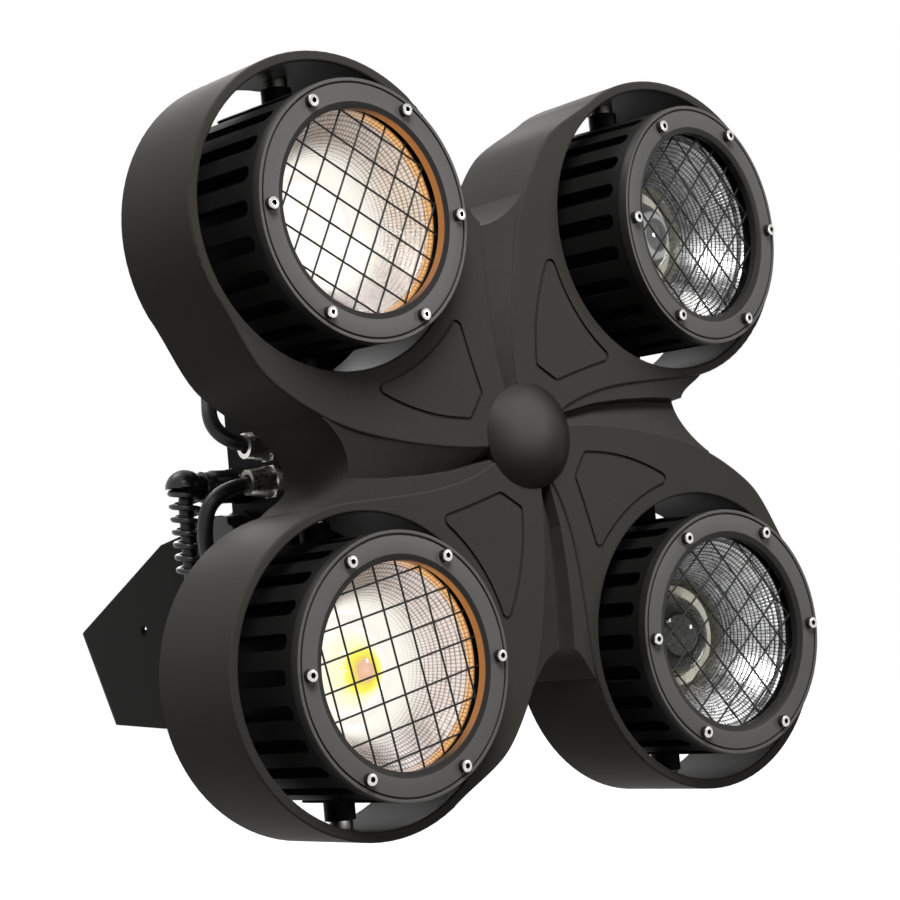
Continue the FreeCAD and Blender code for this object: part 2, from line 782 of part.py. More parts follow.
def strip(hx, out_face):
    # a closed block with rounded outer bends, its back face on the bridge's outer plane
    along, out = bridge_dirs()
    low = V(0, bridge_low_y, bridge_low_z)
    depth = bridge_high_y - tilt_y + bridge_high_y - bridge_low_y + 4 * arm_eye_r
    width = 2 * depth
    r = yoke_bend_r - out_face
    base = low - along * (width / 2) - out * out_face
    corner = [V(-hx, 0, 0), V(hx, 0, 0)]
    a = base + corner[0]
    b = base + corner[1]
    s = math.sqrt(0.5)
    front_a = a - out * depth
    front_b = b - out * depth
    k = 1 - s
    edges = [Part.makeLine(front_a, a - out * r),
             Part.Arc(a - out * r, a + V(r * k, 0, 0) - out * (r * k), a + V(r, 0, 0)).toShape(),
             Part.makeLine(a + V(r, 0, 0), b - V(r, 0, 0)),
             Part.Arc(b - V(r, 0, 0), b - V(r * k, 0, 0) - out * (r * k), b - out * r).toShape(),
             Part.makeLine(b - out * r, front_b),
             Part.makeLine(front_b, front_a)]
    return Part.Face(Part.Wire(edges)).extrude(along * width)


def mount_centre():
    return V(0, (bridge_low_y + bridge_high_y) / 2, (bridge_low_z + bridge_high_z) / 2)


def build_yoke():
    hx = arm_inner_x + arm_t
    sides = arm_outline()
    sides.translate(V(-hx, 0, 0))
    block = sides.extrude(V(2 * hx, 0, 0))
    shell = strip(hx, 0).cut(strip(arm_inner_x, arm_t))
    body = block.common(shell)
    along, out = bridge_dirs()
    c = mount_centre()
    body = body.cut(Part.makeCylinder(mount_r, arm_t + 2 * OVERRUN, c + out * OVERRUN, out * -1))
    body = body.cut(rod_x(stud_r + GAP, -hx - OVERRUN, hx + OVERRUN, tilt_y, tilt_z))
    body = body.cut(rod_x(arm_hole_r, -hx - OVERRUN, hx + OVERRUN, arm_hole_y, arm_hole_z))
    return clean(body)


def build_knob(sign):
    x0 = arm_inner_x + arm_t + GAP
    body = rod_x(knob_r, x0 + knob_flange_t, x0 + knob_flange_t + knob_h, tilt_y, tilt_z)
    for k in range(knob_lobes):
        a = 2 * math.pi * k / knob_lobes
        body = body.cut(rod_x(knob_flute_r, x0, x0 + knob_flange_t + knob_h + OVERRUN,
                              tilt_y + (knob_r + knob_flute_r / 2) * math.cos(a),
                              tilt_z + (knob_r + knob_flute_r / 2) * math.sin(a)))
    body = body.fuse(rod_x(knob_flange_r, x0, x0 + knob_flange_t, tilt_y, tilt_z))
    body = body.fuse(rod_x(stud_r, case_half_x - stud_depth, x0 + knob_flange_t, tilt_y, tilt_z))
    body = clean(body)
    if sign < 0:
        body = body.mirror(V(0, 0, 0), V(1, 0, 0))
    return body


# Leads: straight runs joined by tangent arcs

def route(points, label):
    edges = []
    here = points[0]
    for k in range(1, len(points) - 1):
        p = points[k]
        a = points[k - 1] - p
        b = points[k + 1] - p
        la, lb = a.Length, b.Length
        a.normalize()
        b.normalize()
        inside = a.getAngle(b)
        turn = math.pi - inside
        t = 0.45 * min(la, lb)
        r = t / math.tan(turn / 2)
        mid = a + b
        mid.normalize()
        centre = p + mid * (r / math.cos(turn / 2))
        start = p + a * t
        end = p + b * t
        edges.append(Part.makeLine(here, start))
        edges.append(Part.Arc(start, centre - mid * r, end).toShape())
        print(label, "bend radius", round(r, 1), "turn", round(math.degrees(turn)))
        here = end
    edges.append(Part.makeLine(here, points[-1]))
    return Part.Wire(edges)


def tube_on(wire, r):
    e = wire.Edges[0]
    p = e.valueAt(e.FirstParameter)
    d = e.tangentAt(e.FirstParameter)
    ring = Part.Wire(Part.makeCircle(r, p, d))
    return wire.makePipeShell([ring], True, False)


head_lead_out = 46.0  # how far a head lead stands off the case before it turns
lead_side = {1: ((24.0, 148.0, 60.0),), -1: ((53.0, 127.0, -46.0), (28.0, 139.0, -86.0))}
lead_back = {1: 156.0, -1: 166.0}


def lead_points(head):
    sx, sz = side_of[head]
    start = V(sx * (case_half_x + gland_nut_h / 2), gland_y, sz * gland_z)
    end = head_point(V(0, head_back + skin / 2, 0), head)
    back = head_direction(V(0, 1, 0), head)
    points = [start, V(sx * (case_half_x + head_lead_out), gland_y, sz * gland_z)]
    points += [V(sx * (case_half_x + out), y, z) for out, y, z in lead_side[sz]]
    return points + [end + back * (lead_back[sz] - end.y), end]


def build_lead(head):
    wire = route(lead_points(head), "head lead " + head)
    solid = tube_on(wire, lead_r)
    print("head lead", head, "length", round(wire.Length, 1), "volume ratio",
          round(solid.Volume / (math.pi * lead_r ** 2 * wire.Length), 4))
    return solid


pigtail_out = 48.0
pigtail_places = ((130.0, -120.0), (127.0, -146.0))
tail_run = 20.0
relief_corner = V(-case_half_x - relief_out, power_gland_y, power_gland_z)
relief_end = relief_corner + V(0, 0, -relief_sink - relief_drop)
pigtail_points = [V(-case_half_x - pigtail_out, y, z) for y, z in pigtail_places]


def coil_angle(u):
    return math.radians(relief_start_turn + 360 * relief_turns * u)


def coil_point(u):
    # the strain relief's spiral, from inside its cap down to its end
    rad = relief_start_r + (relief_end_r - relief_start_r) * u
    a = coil_angle(u)
    return relief_corner + V(rad * math.cos(a), rad * math.sin(a), -relief_sink - relief_drop * u)


def coil_tangent(u):
    rad = relief_start_r + (relief_end_r - relief_start_r) * u
    a = coil_angle(u)
    inward = V(math.cos(a), math.sin(a), 0) * (relief_end_r - relief_start_r)
    t = V(-math.sin(a), math.cos(a), 0) * (rad * (coil_angle(1) - coil_angle(0))) + inward + V(0, 0, -relief_drop)
    t.normalize()
    return t


def biarc(p0, t0, p1, t1):
    v = p1 - p0
    t = t0 + t1
    b = v.dot(t)
    c = v.dot(v)
    a = 2 * (1 - t0.dot(t1))
    if abs(a) < EPS:
        d = c / (2 * b)
    else:
        d = (-b + math.sqrt(b * b + a * c)) / a
    j = (p0 + t0 * d + p1 - t1 * d) * 0.5
    return [arc_from(p0, t0, j), arc_from(j, None, p1, t1)]


def arc_from(p, t, q, t_end=None):
    # circular arc from p to q that starts along t, or that ends along t_end
    chord = q - p
    tan = t if t is not None else t_end
    flip = 1 if t is not None else -1
    axis = chord.cross(tan)
    axis.normalize()
    n = axis.cross(tan)
    n.normalize()
    half_chord = chord * 0.5
    rad = chord.dot(chord) / (2 * abs(chord.dot(n)))
    base = p if t is not None else q
    other = q if t is not None else p
    sign = 1 if (other - base).dot(n) > 0 else -1
    centre = base + n * (rad * sign)
    m = p + half_chord - centre
    m.normalize()
    return Part.Arc(p, centre + m * rad, q).toShape()


def build_relief():
    edges = []
    steps = relief_turns * 4
    for k in range(steps):
        u0, u1 = k / steps, (k + 1) / steps
        edges += biarc(coil_point(u0), coil_tangent(u0), coil_point(u1), coil_tangent(u1))
    wire = Part.Wire(edges)
    spring = tube_on(wire, relief_wire_r)
    least = None
    samples = relief_turns * 24
    pts = [coil_point(k / samples) for k in range(samples + 1)]
    for i in range(len(pts)):
        for j in range(i + 16, len(pts)):
            gap = pts[i].distanceToPoint(pts[j]) - 2 * relief_wire_r
            least = gap if least is None else min(least, gap)
    print("strain relief spiral: least gap to itself", round(least, 2), "length", round(wire.Length, 1))
    return spring


def power_core(x):
    # the lead's line from x inside the gland, round the bend in the cap and down the spiral
    r = relief_bend_r
    k = r * (1 - math.sqrt(0.5))
    start = V(x, power_gland_y, power_gland_z)
    before = relief_corner + V(r, 0, 0)
    after = relief_corner + V(0, 0, -r)
    return [Part.makeLine(start, before), Part.Arc(before, relief_corner + V(k, 0, -k), after).toShape(),
            Part.makeLine(after, relief_end)]


def build_power_gland():
    y, z = power_gland_y, power_gland_z
    wall = -case_half_x
    nut_end = wall - power_nut_h
    dome_end = nut_end - power_dome_h
    inside = wall + 2 * case_wall
    body = hex_x(power_nut_r, nut_end, wall, y, z).fuse(rod_x(gland_thread_r, wall - OVERRUN, inside, y, z))
    dome = rod_x(power_dome_r, dome_end, nut_end, y, z)
    rims = [e for e in dome.Edges if e.BoundBox.XMax < dome_end + OVERRUN]
    dome = dome.makeFillet(power_dome_r - relief_neck_r + OVERRUN, rims)
    c, r = relief_corner, relief_cap_r
    neck = rod_x(relief_neck_r, c.x, dome_end + OVERRUN, y, z)
    neck = neck.cut(box(c.x - r, c.x + r, y - r, y + r, z - r, z))
    cap = Part.makeSphere(r, c).common(box(c.x - 2 * r, c.x + 2 * r, y - 2 * r, y + 2 * r, z, z + 2 * r))
    body = fuse_all([body, dome, neck, cap])
    body = body.cut(tube_on(Part.Wire(power_core(inside + OVERRUN)), power_lead_r + FIT))
    return clean(body.fuse(build_relief()))


def build_power_lead():
    tail = [relief_end, relief_end + V(0, 0, -1) * tail_run] + pigtail_points
    wire = route(tail, "power lead")
    whole = Part.Wire(power_core(-case_half_x - power_nut_h / 2) + wire.Edges)
    solid = tube_on(whole, power_lead_r)
    print("power lead length", round(whole.Length, 1), "volume ratio",
          round(solid.Volume / (math.pi * power_lead_r ** 2 * whole.Length), 4))
    return solid


def build_plug():
    a, b = pigtail_points
    d = b - a
    d.normalize()
    start = b - d * plug_collar_l / 4
    body = Part.makeCylinder(plug_r, plug_length, start, d)
    collar = Part.makeCylinder(plug_collar_r, plug_collar_l, start + d * (plug_length - plug_collar_l), d)
    taper = Part.makeCone(power_lead_r + case_wall / 2, plug_r, plug_collar_l / 2, start - d * plug_collar_l / 2, d)
    body = fuse_all([body, collar, taper])
    body = body.cut(Part.makeCylinder(power_lead_r + FIT, 3 * plug_collar_l / 4 + FIT, start - d * plug_collar_l / 2 - d * FIT, d))
    return clean(body)


def export(name, shape):
    s = shape.copy()
    s.translate(mount_centre() * -1)
    solids = s.Solids
    ok = s.isValid() and all(x.isClosed() for x in solids) and s.Volume > 0
    s.exportStep(os.path.join(PARTS, name + ".step"))
    b = s.BoundBox
    print("%-28s solids %2d valid %s volume %9.0f  box %6.1f %6.1f %6.1f" %
          (name, len(solids), ok, s.Volume, b.XLength, b.YLength, b.ZLength))


def main():
    export("front_housing", build_housing())
    export("centre_cap", build_cap())
    export("head_pivot_bolts", build_pivot_bolts())
    export("rear_chassis", build_chassis())
    export("electronics_case", build_case())
    export("case_lid", build_lid())
    export("lid_screws", build_lid_screws())
    export("display_window", build_window())
    for k in range(4):
        export("menu_button_%d" % (k + 1), build_button(k))
    export("power_supply", build_supply())
    export("case_glands", build_case_glands())
    export("yoke", build_yoke())
    export("tilt_knob_left", build_knob(-1))
    export("tilt_knob_right", build_knob(1))
    parts = {"head_casting": build_heatsink(), "bezel": build_bezel(), "bezel_screws": build_screw(),
             "front_glass": build_glass(), "reflector": build_reflector(), "cob_module": build_cob(),
             "cob_lens": build_lens(), "head_gland": build_head_gland()}
    for head in HEADS:
        for name, shape in parts.items():
            export(head + "_" + name, place_head(shape, head))
        export(head + "_wire_guard", place_head(build_guard(guard_turn[head]), head))
        export(head + "_lead", build_lead(head))
    export("power_gland", build_power_gland())
    export("power_lead", build_power_lead())
    export("power_plug", build_plug())


main()
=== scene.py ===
import bpy
import json
import math
from mathutils import Matrix, Vector

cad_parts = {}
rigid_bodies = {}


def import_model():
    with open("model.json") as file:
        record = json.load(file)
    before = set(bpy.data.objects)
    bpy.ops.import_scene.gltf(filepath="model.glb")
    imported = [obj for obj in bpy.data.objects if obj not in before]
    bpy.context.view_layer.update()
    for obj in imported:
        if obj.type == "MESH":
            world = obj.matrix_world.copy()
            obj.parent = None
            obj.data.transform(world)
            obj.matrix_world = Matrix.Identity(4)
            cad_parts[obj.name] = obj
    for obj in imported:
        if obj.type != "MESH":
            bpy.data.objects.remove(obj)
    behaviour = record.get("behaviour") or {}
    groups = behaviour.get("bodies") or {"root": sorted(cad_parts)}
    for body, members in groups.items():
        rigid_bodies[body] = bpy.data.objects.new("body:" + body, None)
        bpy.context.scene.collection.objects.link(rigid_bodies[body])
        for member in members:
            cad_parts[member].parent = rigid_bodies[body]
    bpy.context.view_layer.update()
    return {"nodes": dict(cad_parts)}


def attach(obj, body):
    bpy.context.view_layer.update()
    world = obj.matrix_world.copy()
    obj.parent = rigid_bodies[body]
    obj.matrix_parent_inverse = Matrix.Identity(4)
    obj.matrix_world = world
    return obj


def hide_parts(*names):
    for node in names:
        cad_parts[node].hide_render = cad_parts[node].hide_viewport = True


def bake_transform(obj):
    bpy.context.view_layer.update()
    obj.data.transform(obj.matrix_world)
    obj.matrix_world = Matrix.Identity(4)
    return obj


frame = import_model()
nodes = frame["nodes"]

MM = 0.001
CLAMP_HOLE = Vector((0.0, 349.0, -121.65)) * MM   # the frame's origin, measured from the front of the rings
HEADS = ("upper_left", "upper_right", "lower_left", "lower_right")
SIDE = {"upper_left": (-1, 1), "upper_right": (1, 1), "lower_left": (-1, -1), "lower_right": (1, -1)}
TURN = {"upper_left": 3.9, "upper_right": 8.7, "lower_left": 3.0, "lower_right": 1.2}
LIT = ("upper_left", "lower_left")
HALF = 126.0        # from the middle of the light to each head's axis, sideways and up
SWIVEL_Y = 47.0     # depth of the heads' pivots
LEAD_R = 4.75
POWER_R = 4.5
LENS_FRONT = 10.5   # depth of the dome's tip
LENS_R = 25.0
DOME_R = 27.5
MOUTH = (57.0, -8.0)   # the bowl's edges, as radius and depth
FOOT = (31.0, 27.0)
BOW = 2.6           # how far the bowl's wall bows out between them
BEZEL_R = 74.5
BEZEL_BORE = 57.5
BEZEL_FRONT = -24.0
BEZEL_BACK = -18.0
SCREW_CIRCLE = 67.3


def spot(x, y, z):
    return Vector((x, y, z)) * MM - CLAMP_HOLE


# Camera

def set_camera():
    data = bpy.data.cameras.new("camera")
    data.sensor_width = 36.0
    data.lens = 94.37
    cam = bpy.data.objects.new("camera", data)
    bpy.context.scene.collection.objects.link(cam)
    right = Vector((0.7875, -0.6093, -0.0924))
    up = Vector((0.0283, -0.1140, 0.9931))
    back = Vector((-0.6156, -0.7847, -0.0725))
    place = spot(-892.0, -1060.5, -104.8)
    turn = Matrix((right, up, back)).transposed().to_4x4()
    cam.matrix_world = Matrix.Translation(place) @ turn
    bpy.context.scene.camera = cam


set_camera()


# Materials

class Sock:
    """The output of a node, with arithmetic that adds Math nodes."""

    def __init__(self, shop, out):
        self.shop = shop
        self.out = out

    def _math(self, kind, a, b=None, clamp=False):
        vals = {0: a}
        if b is not None:
            vals[1] = b
        return self.shop.node("ShaderNodeMath", {"operation": kind, "use_clamp": clamp}, vals)

    def __add__(self, o):
        return self._math("ADD", self, o)

    __radd__ = __add__

    def __mul__(self, o):
        return self._math("MULTIPLY", self, o)

    __rmul__ = __mul__

    def __sub__(self, o):
        return self._math("SUBTRACT", self, o)

    def __rsub__(self, o):
        return self._math("SUBTRACT", o, self)

    def most(self, o):
        return self._math("MAXIMUM", self, o)

    def swing(self, o):
        return self._math("PINGPONG", self, o)

    def root(self):
        return self._math("SQRT", self)

    def clamp(self):
        return self._math("ADD", self, 0.0, True)

    def ramp(self, low, high):
        return self.shop.node("ShaderNodeMapRange", {"interpolation_type": "SMOOTHSTEP"},
                              {0: self, 1: low, 2: high, 3: 0.0, 4: 1.0})


class Finish:
    """A material whose nodes are added one by one."""

    def __init__(self, name):
        self.mat = bpy.data.materials.new(name)
        self.mat.use_nodes = True
        self.tree = self.mat.node_tree
        self.tree.nodes.clear()

    def node(self, kind, settings=None, values=None, out=0):
        n = self.tree.nodes.new(kind)
        for key, val in (settings or {}).items():
            if key == "stops":
                ramp = n.color_ramp
                while len(ramp.elements) < len(val):
                    ramp.elements.new(0.5)
                for e, (pos, col) in zip(ramp.elements, val):
                    e.position = pos
                    e.color = tuple(col) + (1.0,) if len(col) == 3 else col
            else:
                setattr(n, key, val)
        for key, val in (values or {}).items():
            if isinstance(val, Sock):
                self.tree.links.new(val.out, n.inputs[key])
            else:
                n.inputs[key].default_value = val
        return Sock(self, n.outputs[out])

    def coords(self):
        return self.node("ShaderNodeTexCoord", out=3)

    def noise(self, size, detail=3.0, rough=0.55, where=None, out=0):
        values = {"Vector": where or self.coords(), "Scale": size, "Detail": detail, "Roughness": rough}
        return self.node("ShaderNodeTexNoise", {"noise_dimensions": "3D"}, values, out)

    def stops(self, factor, stops):
        return self.node("ShaderNodeValToRGB", {"stops": stops}, {0: factor})

    def blend(self, factor, a, b, kind="MIX"):
        n = self.tree.nodes.new("ShaderNodeMix")
        n.data_type = "RGBA"
        n.blend_type = kind
        for key, val in ((0, factor), (6, a), (7, b)):
            if isinstance(val, Sock):
                self.tree.links.new(val.out, n.inputs[key])
            elif key == 0:
                n.inputs[key].default_value = val
            else:
                n.inputs[key].default_value = tuple(val) + (1.0,)
        return Sock(self, n.outputs[2])

    def split(self, vector):
        n = self.tree.nodes.new("ShaderNodeSeparateXYZ")
        self.tree.links.new(vector.out, n.inputs[0])
        return [Sock(self, n.outputs[k]) for k in range(3)]

    def bump(self, height, strength, distance):
        return self.node("ShaderNodeBump", None, {"Height": height, "Strength": strength, "Distance": distance})

    def surface(self, **values):
        n = self.tree.nodes.new("ShaderNodeBsdfPrincipled")
        for key, val in values.items():
            name = key.replace("_", " ")
            if isinstance(val, Sock):
                self.tree.links.new(val.out, n.inputs[name])
            elif isinstance(val, (tuple, list)) and len(val) == 3:
                n.inputs[name].default_value = tuple(val) + (1.0,)
            else:
                n.inputs[name].default_value = val
        out = self.tree.nodes.new("ShaderNodeOutputMaterial")
        self.tree.links.new(n.outputs[0], out.inputs[0])
        return self.mat


def textured_coat(name, dark, light, grain=900.0, rough=0.5, depth=0.00012, gloss=0.03):
    """Fine orange-peel powder coat with a slow change of tone over the casting."""
    f = Finish(name)
    speck = f.noise(grain, 2.0, 0.6)
    drift = f.noise(9.0, 3.0, 0.5)
    tone = (speck * 0.45 + drift * 0.55).clamp()
    colour = f.blend(tone, dark, light)
    polish = (drift * 0.16 + (rough - 0.08)).clamp()
    return f.surface(Base_Color=colour, Roughness=polish, Specular_IOR_Level=gloss,
                     Normal=f.bump(speck, 0.35, depth))


def smooth_black(name, dark, light, rough, gloss=0.35):
    f = Finish(name)
    drift = f.noise(30.0, 4.0, 0.6)
    colour = f.blend(drift, dark, light)
    smear = f.noise(160.0, 3.0, 0.6)
    polish = (smear * 0.14 + (rough - 0.07)).clamp()
    return f.surface(Base_Color=colour, Roughness=polish, Specular_IOR_Level=gloss,
                     Normal=f.bump(smear, 0.15, 0.00005))


def bright_metal(name, colour, dull, rough):
    f = Finish(name)
    drift = f.noise(240.0, 4.0, 0.6)
    return f.surface(Base_Color=f.blend(drift, dull, colour), Metallic=1.0,
                     Roughness=(drift * 0.12 + rough).clamp(), Normal=f.bump(drift, 0.1, 0.00003))


# Tools for modelling

def drop_picks():
    for o in bpy.context.view_layer.objects:
        o.select_set(False)


def take(obj):
    drop_picks()
    obj.select_set(True)
    bpy.context.view_layer.objects.active = obj


def settle(obj, name, finish, angle=35.0):
    """Puts the object's place into its mesh, smooths it and gives it its material."""
    take(obj)
    bpy.ops.object.transform_apply(location=True, rotation=True, scale=True)
    obj.name = name
    obj.data.name = name
    obj.data.materials.clear()
    obj.data.materials.append(finish)
    if angle:
        bpy.ops.object.shade_smooth_by_angle(angle=math.radians(angle))
    return obj


def turned(name, profile, finish, steps=96, closed=False, angle=35.0):
    """A piece turned round the head's own axis. The profile is (radius, depth) in mm, front to back."""
    r0, y0 = profile[0]
    drop_picks()
    tip = r0 == 0
    start_r = 0.05 if tip else r0
    bpy.ops.mesh.primitive_circle_add(vertices=steps, radius=start_r * MM, location=(0, y0 * MM, 0),
                                      rotation=(math.pi / 2, 0, 0), fill_type="TRIFAN" if tip else "NOTHING")
    obj = bpy.context.active_object
    bpy.ops.object.transform_apply(location=True, rotation=True, scale=True)
    bpy.ops.object.mode_set(mode="EDIT")
    bpy.ops.mesh.select_mode(type="EDGE")
    bpy.ops.mesh.select_all(action="SELECT")
    if tip:
        bpy.ops.mesh.region_to_loop()
    r, y = start_r, y0
    path = list(profile[1:]) + ([profile[0]] if closed else [])
    for nr, ny in path:
        end = nr == 0
        nr = 0.05 if end else nr
        bpy.ops.mesh.extrude_edges_move(TRANSFORM_OT_translate={"value": (0, (ny - y) * MM, 0)})
        s = nr / r
        bpy.ops.transform.resize(value=(s, 1, s), center_override=(0, ny * MM, 0))
        if end:
            bpy.ops.mesh.edge_face_add()
        r, y = nr, ny
    bpy.ops.mesh.select_all(action="SELECT")
    bpy.ops.mesh.remove_doubles(threshold=1e-6)
    bpy.ops.mesh.normals_make_consistent(inside=False)
    bpy.ops.object.mode_set(mode="OBJECT")
    return settle(obj, name, finish, angle)


def seat(obj, head):
    """Moves a piece from the head's own axis to where that head stands, and lets it ride on the head."""
    sx, sz = SIDE[head]
    pivot = Matrix.Translation((0, SWIVEL_Y * MM, 0))
    turn = pivot @ Matrix.Rotation(math.radians(TURN[head]), 4, "Z") @ pivot.inverted()
    shift = Matrix.Translation(Vector((sx * HALF, 0, sz * HALF)) * MM - CLAMP_HOLE)
    obj.data.transform(shift @ turn)
    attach(obj, head + "_head")
    return obj


def copy_of(obj, name):
    new = obj.copy()
    new.data = obj.data.copy()
    new.name = name
    new.data.name = name
    bpy.context.scene.collection.objects.link(new)
    return new


def joined(pieces, name):
    drop_picks()
    for p in pieces:
        p.select_set(True)
    bpy.context.view_layer.objects.active = pieces[0]
    bpy.ops.object.join()
    pieces[0].name = name
    pieces[0].data.name = name
    return pieces[0]


def rounded(points, radius, steps=3):
    """Rounds the corners of a profile, so that edges catch the light as cast ones do."""
    out = []
    n = len(points)
    for k in range(n):
        p = Vector(points[k])
        a = Vector(points[k - 1]) - p
        b = Vector(points[(k + 1) % n]) - p
        t = min(radius, 0.45 * a.length, 0.45 * b.length)
        a.normalize()
        b.normalize()
        for i in range(steps + 1):
            w = i / steps
            q = p + a * t * (1 - w) ** 2 + b * t * w ** 2
            out.append((q.x, q.y))
    return out


# Finishes

housing_coat = textured_coat("housing_coat", (0.034, 0.0315, 0.0288), (0.066, 0.0615, 0.0560), rough=0.50)
head_coat = textured_coat("head_coat", (0.006, 0.006, 0.006), (0.014, 0.014, 0.0135), grain=1100.0, gloss=0.06)
case_coat = textured_coat("case_coat", (0.008, 0.008, 0.008), (0.018, 0.018, 0.0175))
yoke_coat = textured_coat("yoke_coat", (0.012, 0.0115, 0.011), (0.026, 0.025, 0.024), grain=1300.0, rough=0.42)
wire_coat = smooth_black("wire_coat", (0.006, 0.006, 0.006), (0.014, 0.014, 0.014), 0.45, 0.25)
rubber = smooth_black("rubber", (0.008, 0.008, 0.008), (0.016, 0.016, 0.016), 0.42)
nylon = smooth_black("nylon", (0.008, 0.008, 0.008), (0.014, 0.014, 0.014), 0.28, 0.45)
knob_plastic = smooth_black("knob_plastic", (0.010, 0.010, 0.010), (0.018, 0.018, 0.018), 0.36)
button_rubber = smooth_black("button_rubber", (0.10, 0.10, 0.10), (0.15, 0.15, 0.15), 0.5)
display_black = smooth_black("display_black", (0.004, 0.004, 0.006), (0.010, 0.010, 0.013), 0.12, 0.5)
stainless = bright_metal("stainless", (0.72, 0.70, 0.68), (0.48, 0.47, 0.45), 0.16)
nickel = bright_metal("nickel", (0.86, 0.84, 0.80), (0.62, 0.60, 0.57), 0.22)
supply_metal = bright_metal("supply_metal", (0.62, 0.62, 0.62), (0.50, 0.50, 0.50), 0.3)
painted_screw_shade = smooth_black("painted_screw_shade", (0.010, 0.010, 0.010), (0.020, 0.020, 0.020), 0.5, 0.2)


def glass_finish(name, tint, clear, rough):
    f = Finish(name)
    film = f.noise(60.0, 3.0, 0.6)
    tone = f.blend(film, tint, tuple(c * 1.3 for c in tint))
    return f.surface(Base_Color=tone, Roughness=(film * 0.05 + rough).clamp(), Alpha=clear, IOR=1.5,
                     Specular_IOR_Level=0.5)


def cap_finish():
    """Satin coat on the middle cap, with painted shade: darker away from a point a little up and left of its middle.
    """
    f = Finish("cap_coat")
    x, y, z = f.split(f.coords())
    z = z - (-CLAMP_HOLE.z)
    speck = f.noise(1100.0, 2.0, 0.6)
    drift = f.noise(45.0, 3.0, 0.55)
    colour = f.blend((speck * 0.35 + drift * 0.65).clamp(), (0.060, 0.057, 0.053), (0.105, 0.099, 0.091))
    # painted shade: the cap darkens with distance from a point up and left of its middle, as if lit from there
    painted_shade_away = ((x + 0.006) * (x + 0.006) + (z - 0.008) * (z - 0.008)).root()
    colour = f.blend(painted_shade_away.ramp(0.006, 0.032) * 0.88, colour, (0.010, 0.0095, 0.009))
    return f.surface(Base_Color=colour, Roughness=(drift * 0.12 + 0.28).clamp(), Specular_IOR_Level=0.03,
                     Normal=f.bump(speck, 0.3, 0.00008))


cap_coat = cap_finish()


def bezel_finish(name, lit):
    """Satin coat with painted shade in the groove, on the inner slope and on the walls. A lit lamp's light is painted
    as an orange glow on the bezel's inner wall.
    """
    f = Finish(name)
    u, v, w = f.split(f.node("ShaderNodeUVMap", {"uv_map": "radius"}))
    speck = f.noise(1200.0, 2.0, 0.6)
    drift = f.noise(14.0, 3.0, 0.5)
    colour = f.blend((speck * 0.4 + drift * 0.6).clamp(), (0.082, 0.079, 0.075), (0.150, 0.145, 0.137))
    # painted shade: near-black in the groove, on the inner slope and on the outer wall
    groove = u.ramp(71.0, 71.5) * (1.0 - u.ramp(72.2, 72.7))
    slope = 1.0 - u.ramp(60.9, 61.4)
    side = u.ramp(74.1, 74.4)
    colour = f.blend((groove * 0.9 + slope * 0.88 + side * 0.85).clamp(), colour, (0.010, 0.0095, 0.009))
    values = dict(Base_Color=colour, Roughness=(drift * 0.14 + 0.30).clamp(), Specular_IOR_Level=0.12,
                  Normal=f.bump(speck, 0.3, 0.00006))
    if lit:
        # painted glow: the lamp's orange light on the bezel's inner wall, though the bezel gives no light
        wall = (1.0 - u.ramp(57.6, 58.3)) * (1.0 - (v - 0.53).swing(0.5).ramp(0.12, 0.24))
        values.update(Emission_Color=f.blend(wall, (0.0, 0.0, 0.0), (1.0, 0.36, 0.07)), Emission_Strength=0.35)
    return f.surface(**values)


bezel_coat = bezel_finish("bezel_coat", False)
bezel_painted_glow = bezel_finish("bezel_painted_glow", True)
front_glass = glass_finish("front_glass", (0.03, 0.032, 0.034), 0.05, 0.02)


# Reflector: rings of small square facets

RINGS = 18
SECTORS = 150
FACETS_END = 15.0   # the last ring before the plain collar round the lens
# Painted reflections of the unlit bowls: the mirror's brightness listed by turn round the axis, in degrees.
PAINTED_REFLECTION_BY_TURN = {"upper_right": ((-180, 0.16), (-125, 0.22), (-104, 0.50), (-88, 1.0), (-62, 0.95), (-52, 0.40), (-30, 0.50),
                        (-25, 1.0), (-4, 1.0), (4, 0.85), (14, 0.50), (42, 0.52), (60, 0.60), (78, 0.46), (100, 0.28),
                        (130, 0.16), (180, 0.16)),
        "lower_right": ((-180, 0.20), (-125, 0.30), (-106, 0.80), (-86, 1.0), (-66, 1.0), (-52, 0.72), (-36, 1.0),
                        (-14, 0.80), (2, 1.0), (22, 0.90), (42, 1.0), (62, 0.80), (84, 0.82), (100, 0.55),
                        (124, 0.38), (150, 0.20), (180, 0.20))}
# Painted glow of the lit bowls, listed by turn round the axis, with darker painted shade patches.
PAINTED_GLOW_BY_TURN = {"upper_left": ((-180, (1.0, 0.97, 0.9)), (-128, (0.98, 0.93, 0.85)), (-112, (0.24, 0.21, 0.18)),
                        (-98, (0.26, 0.22, 0.20)), (-80, (0.80, 0.73, 0.70)), (-45, (0.66, 0.57, 0.50)),
                        (-12, (0.82, 0.70, 0.58)), (25, (0.88, 0.74, 0.60)), (58, (0.62, 0.54, 0.48)),
                        (92, (0.34, 0.28, 0.24)), (112, (0.24, 0.21, 0.19)), (128, (0.28, 0.25, 0.23)),
                        (142, (0.98, 0.94, 0.88)), (180, (1.0, 0.97, 0.9))),
         "lower_left": ((-180, (1.0, 0.97, 0.9)), (-132, (0.98, 0.93, 0.83)), (-114, (0.26, 0.22, 0.20)),
                        (-98, (0.30, 0.26, 0.24)), (-78, (0.90, 0.83, 0.82)), (-50, (0.52, 0.44, 0.40)),
                        (-20, (0.88, 0.78, 0.72)), (28, (0.90, 0.79, 0.72)), (62, (0.70, 0.62, 0.58)),
                        (92, (0.30, 0.25, 0.21)), (118, (0.20, 0.165, 0.135)), (142, (0.34, 0.28, 0.20)),
                        (160, (0.98, 0.93, 0.83)), (180, (1.0, 0.97, 0.9)))}


def turn_stops(table):
    return [((a + 180.0) / 360.0, (c, c, c) if isinstance(c, float) else c) for a, c in table]


